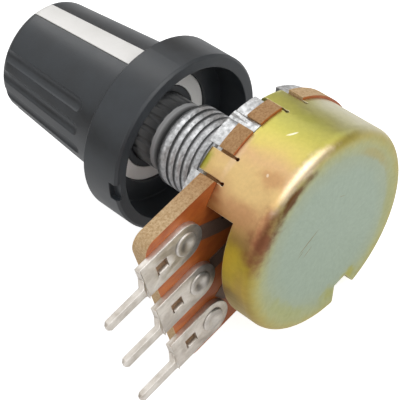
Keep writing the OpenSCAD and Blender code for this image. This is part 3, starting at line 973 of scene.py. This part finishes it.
@dataclass
class CastPlate(Assembly):
    """Front plate with its threaded neck.

    Args:
        crest_r: Radius over the thread's crests, in millimetres.
        root_r: Radius at the thread's roots.
        root_half: Half width of the groove at its root.
        mouth_half: Half width of the groove just outside the crests.
        clear: How far the cutting solids reach past the crests.
        pitch: Pitch of the thread.
        bore_r: Radius of the sleeve's bore.
        neck_foot: Level of the sleeve's lower end.
        neck_end: Level of the neck's end.
        trim_foot: Level above the seat from which the CAD neck is cut away.
        trim_height: Height of the solid that cuts it away.
        mouth_round: Rounding of the neck's end.
        thread_low: Level at which the groove starts.
        thread_high: Level at which it ends.
        steps: Steps of the coil for each turn.
        plate_angle: Edges of the plate sharper than this stay hard, in degrees.
        sleeve_angle: Edges of the thread sharper than this stay hard.
    """

    crest_r: float = 3.5
    root_r: float = 3.2
    root_half: float = 0.03
    mouth_half: float = 0.17
    clear: float = 0.1
    pitch: float = 0.75
    bore_r: float = 2.3
    neck_foot: float = 0.05
    neck_end: float = 6.6
    trim_foot: float = 0.1
    trim_height: float = 10.0
    mouth_round: float = 0.14
    thread_low: float = 0.55
    thread_high: float = 6.15
    steps: int = 72
    plate_angle: float = 28
    sleeve_angle: float = 80

    def neck(self) -> bpy.types.Object:
        """Shapes a plain sleeve over the neck, for the thread to be cut into."""
        sleeve = tube("neck_sleeve", self.crest_r, self.bore_r, self.neck_foot, self.neck_end, self.steps * 2)
        near = 0.01
        with editing(sleeve) as mesh:
            for edge in mesh.edges:
                ends = [v.co for v in edge.verts]
                at_end = min(co.z for co in ends) > (self.neck_end - near) * MM
                outside = min(co.xy.length for co in ends) > (self.crest_r - near) * MM
                edge.select = at_end and outside
            bpy.ops.mesh.bevel(offset=self.mouth_round * MM, segments=3, affect="EDGES")
            face_outward()
        return sleeve

    def thread_groove(self) -> bpy.types.Object:
        """Shapes the helical space that a thread leaves.

        Returns:
            A closed V-shaped coil, upright, for cutting out of the neck.
        """
        deselect()
        bpy.ops.mesh.primitive_plane_add(size=1.0)
        groove = bpy.context.object
        groove.name = "thread_groove"
        mouth_r = self.crest_r + self.clear
        corners = (
            (self.root_r, -self.root_half),
            (mouth_r, -self.mouth_half),
            (mouth_r, self.mouth_half),
            (self.root_r, self.root_half),
        )
        loop = [groove.data.vertices[i] for i in groove.data.polygons[0].vertices]
        for vertex, (r, z) in zip(loop, corners):
            vertex.co = (r * MM, 0, (z + self.thread_low) * MM)
        with editing(groove):
            bpy.ops.mesh.select_all(action="SELECT")
            bpy.ops.mesh.delete(type="ONLY_FACE")
        turns = (self.thread_high - self.thread_low) / self.pitch
        work(
            groove,
            "SCREW",
            axis="Z",
            angle=2 * math.pi * turns,
            screw_offset=(self.thread_high - self.thread_low) * MM,
            steps=int(self.steps * turns),
            render_steps=int(self.steps * turns),
            use_normal_calculate=True,
        )
        with editing(groove):
            bpy.ops.mesh.select_non_manifold(extend=False)
            bpy.ops.mesh.fill_holes(sides=0)
            face_outward()
        return groove

    def build(self) -> None:
        """Puts a threaded neck in the place of the plain one on a copy of the plate."""
        plate = copy_node("front_plate", "threaded_plate")
        sleeve = self.neck()
        carve(sleeve, self.thread_groove())
        lay_down(sleeve)
        reach = self.crest_r + 3 * self.clear
        trim = tube(
            "plain_neck", reach, self.bore_r, self.trim_foot, self.trim_foot + self.trim_height, self.steps * 2
        )
        lay_down(trim)
        carve(plate, trim)
        smooth(plate, self.plate_angle)
        smooth(sleeve, self.sleeve_angle)
        pick(plate)
        sleeve.select_set(True)
        bpy.ops.object.join()
        self.hand_over(plate, Slot.ZINC, "front_plate")


@dataclass
class ResistorBoard(Assembly):
    """Phenolic board with its printed track and collector."""

    nodes: tuple[tuple[str, Slot], ...] = (
        ("resistor_board", Slot.BOARD),
        ("resistance_track", Slot.CARBON),
        ("track_end_left", Slot.SILVER),
        ("track_end_right", Slot.SILVER),
        ("collector_ring", Slot.SILVER),
    )


@dataclass
class TerminalSet(Assembly):
    """Three stamped terminals with their eyelets.

    Args:
        nodes: The eyelets.
        sides: Where each terminal stands.
        edge_round: How far the straps' rounding reaches from an edge, in millimetres.
        flat_angle: Faces that bend less than this are one face, in degrees.
        sharp_angle: Edges sharper than this are rounded.
        hard_angle: Edges sharper than this stay hard.
    """

    nodes: tuple[tuple[str, Slot], ...] = (
        ("eyelet_left", Slot.EYELET),
        ("eyelet_centre", Slot.EYELET),
        ("eyelet_right", Slot.EYELET),
    )
    sides: tuple[str, ...] = ("left", "centre", "right")
    edge_round: float = 0.1
    flat_angle: float = 0.6
    sharp_angle: float = 35
    hard_angle: float = 38

    def strap(self, side: str) -> bpy.types.Object:
        """Makes a copy of one terminal with its stamped edges rounded."""
        piece = copy_node(f"terminal_{side}", f"stamped_terminal_{side}")
        with editing(piece):
            bpy.ops.mesh.select_all(action="SELECT")
            bpy.ops.mesh.dissolve_limited(angle_limit=math.radians(self.flat_angle))
        work(
            piece,
            "BEVEL",
            width=self.edge_round * MM,
            segments=2,
            limit_method="ANGLE",
            angle_limit=math.radians(self.sharp_angle),
            use_clamp_overlap=True,
            miter_outer="MITER_ARC",
        )
        smooth(piece, self.hard_angle)
        return piece

    def build(self) -> None:
        """Rounds the stamped straps and dresses the eyelets."""
        for side in self.sides:
            self.hand_over(self.strap(side), Slot.TIN, f"terminal_{side}")
        super().build()


@dataclass
class RearCover(Assembly):
    """Drawn steel cover."""

    nodes: tuple[tuple[str, Slot], ...] = (("rear_cover", Slot.CHROMATE),)


@dataclass
class Spindle(Assembly):
    """Shaft, rotor, wiper and washer."""

    body: Body = Body.SPINDLE
    nodes: tuple[tuple[str, Slot], ...] = (
        ("shaft", Slot.SHAFT),
        ("rotor", Slot.ROTOR),
        ("wiper", Slot.SPRING),
        ("rotor_washer", Slot.EYELET),
    )


@dataclass
class Knob(Assembly):
    """Two-shot pointer knob."""

    body: Body = Body.SPINDLE
    nodes: tuple[tuple[str, Slot], ...] = (("knob_shell", Slot.KNOB), ("knob_insert", Slot.WHITE))


# Stage


@dataclass(frozen=True)
class Softbox:
    """A round soft lamp that is turned towards the part.

    Args:
        name: The lamp's name.
        place: Where it hangs, in millimetres.
        size: Its diameter in millimetres.
        watts: Its power.
    """

    name: str
    place: Triple
    size: float
    watts: float


@dataclass
class Studio:
    """Pale floor, soft lamps and the camera at the photographed angle.

    Args:
        floor_z: Level of the floor, in millimetres.
        floor_size: Width of the floor.
        floor_grey: Colour of the floor in the lamps' light.
        floor_glow: Light that the floor adds of itself where the camera sees it.
        floor_mirrored: The same where the part mirrors it.
        flag_r: Radius of the dark band round the set.
        flag_top: Height of the band.
        flag_gap: Gap between the floor and the band.
        flag_glow: The band's own colour.
        sky: Strength of the light from all round.
        lamps: The softboxes.
        aim: The point that they are turned to.
        eye: Place of the camera.
        right: Direction to the right of the picture.
        up: Direction up the picture.
        lens: The camera's focal length.
        sensor: Width of its sensor.
        clip: Nearest and furthest distance that it sees, in metres.
    """

    floor_z: float = -8.75
    floor_size: float = 4000
    floor_grey: str = "#e8e8e8"
    floor_glow: float = 0.78
    floor_mirrored: float = 0.22
    flag_r: float = 420.0
    flag_top: float = 150.0
    flag_gap: float = 1.0
    flag_glow: str = "#7a6a58"
    sky: float = 0.48
    lamps: tuple[Softbox, ...] = (
        Softbox("key_softbox", (-72, 138, 182), 130, 0.15),
        Softbox("front_softbox", (-95, -200, 150), 110, 0.10),
        Softbox("side_softbox", (200, 10, 120), 170, 0.06),
        Softbox("back_softbox", (40, 135, 190), 110, 0.06),
    )
    aim: Triple = (2, -5, 0)
    eye: Triple = (38.01, 53.89, 83.37)
    right: Triple = (-0.6780, 0.7086, -0.1953)
    up: Triple = (-0.6589, -0.4683, 0.5887)
    lens: float = 126.0
    sensor: float = 36.0
    clip: tuple[float, float] = (0.01, 5.0)

    def floor(self) -> None:
        """Adds a pale floor that shows near white and keeps the part's shadow."""
        deselect()
        bpy.ops.mesh.primitive_plane_add(size=self.floor_size * MM, location=(0, 0, self.floor_z * MM))
        ground = bpy.context.object
        ground.name = "floor"
        material = bpy.data.materials.new("pale_matt_floor")
        material.use_nodes = True
        tree = material.node_tree
        tree.nodes.clear()
        ray = lay(tree, "LightPath").outputs
        steps = {0: ray["Is Camera Ray"], 1: self.floor_glow - self.floor_mirrored, 2: self.floor_mirrored}
        level = lay(tree, "Math", steps, operation="MULTIPLY_ADD").outputs[0]
        matt = lay(tree, "BsdfDiffuse", {"Color": linear(self.floor_grey)}).outputs[0]
        glow = lay(tree, "Emission", {"Color": linear("#ffffff"), "Strength": level}).outputs[0]
        lit = lay(tree, "AddShader", {0: matt, 1: glow}).outputs[0]
        # The glow lights nothing: rays of scattered light meet the matt floor alone.
        blind = lay(tree, "MixShader", {0: ray["Is Diffuse Ray"], 1: lit, 2: matt}).outputs[0]
        lay(tree, "OutputMaterial", {"Surface": blind})
        ground.data.materials.append(material)

    def flags(self) -> None:
        """Stands a dark band round the set, seen only in reflections, so that metal gets its contrast."""
        deselect()
        bpy.ops.mesh.primitive_cylinder_add(vertices=64, radius=self.flag_r * MM, depth=self.flag_top * MM)
        band = bpy.context.object
        band.name = "dark_flags"
        band.location.z = (self.floor_z + self.flag_top / 2 + self.flag_gap) * MM
        with editing(band) as mesh:
            select_level(mesh)
            bpy.ops.mesh.delete(type="FACE")
        material = bpy.data.materials.new("dark_felt")
        material.use_nodes = True
        levels = material.node_tree.nodes["Principled BSDF"].inputs
        levels["Base Color"].default_value = linear("#000000")
        levels["Specular IOR Level"].default_value = 0.0
        levels["Emission Color"].default_value = linear(self.flag_glow)
        levels["Emission Strength"].default_value = 1.0
        band.data.materials.append(material)
        band.visible_camera = False
        band.visible_diffuse = False
        band.visible_shadow = False
        band.visible_transmission = False

    def world(self) -> None:
        """Lights the scene evenly and shows white to the camera and in reflections."""
        world = bpy.data.worlds.new("studio_world")
        world.use_nodes = True
        bpy.context.scene.world = world
        tree = world.node_tree
        tree.nodes.clear()
        ray = lay(tree, "LightPath").outputs
        shown = ray["Is Camera Ray"]
        for kind in ("Is Glossy Ray", "Is Transmission Ray"):
            shown = lay(tree, "Math", {0: shown, 1: ray[kind]}, operation="MAXIMUM").outputs[0]
        level = lay(tree, "MapRange", {0: shown, 3: self.sky, 4: 1.0}).outputs[0]
        glow = lay(tree, "Background", {"Color": linear("#ffffff"), "Strength": level}).outputs[0]
        lay(tree, "OutputWorld", {"Surface": glow})

    def lights(self) -> None:
        """Hangs the softboxes, each turned towards the part."""
        for softbox in self.lamps:
            lamp = bpy.data.lights.new(softbox.name, "AREA")
            lamp.shape = "DISK"
            lamp.size = softbox.size * MM
            lamp.energy = softbox.watts
            holder = bpy.data.objects.new(softbox.name, lamp)
            bpy.context.scene.collection.objects.link(holder)
            holder.location = Vector(softbox.place) * MM
            aim = Vector(self.aim) * MM - holder.location
            holder.rotation_mode = "QUATERNION"
            holder.rotation_quaternion = aim.to_track_quat("-Z", "Y")

    def camera(self) -> None:
        """Sets the camera where the photograph was taken from."""
        right = Vector(self.right).normalized()
        up = Vector(self.up)
        up = (up - up.dot(right) * right).normalized()
        turn = Matrix((right, up, right.cross(up))).transposed().to_4x4()
        eye = bpy.data.objects.new("camera", bpy.data.cameras.new("camera"))
        bpy.context.scene.collection.objects.link(eye)
        eye.matrix_world = Matrix.Translation(Vector(self.eye) * MM) @ turn
        eye.data.sensor_width = self.sensor
        eye.data.lens = self.lens
        eye.data.clip_start, eye.data.clip_end = self.clip
        bpy.context.scene.camera = eye

    def build(self) -> None:
        """Sets up floor, world, lamps and camera."""
        self.floor()
        self.flags()
        self.world()
        self.lights()
        self.camera()
        bpy.context.scene.view_settings.view_transform = "Standard"


def main() -> None:
    """Builds the part's looks, sub-assembly by sub-assembly, and the stage."""
    logging.basicConfig(level=logging.INFO, format="%(message)s")
    wardrobe = Wardrobe()
    builders: list[Callable[[], None]] = [
        Studio().build,
        CastPlate(wardrobe).build,
        ResistorBoard(wardrobe).build,
        TerminalSet(wardrobe).build,
        RearCover(wardrobe).build,
        Spindle(wardrobe).build,
        Knob(wardrobe).build,
    ]
    for build in builders:
        build()
    deselect()


if __name__ == "__main__":
    main()
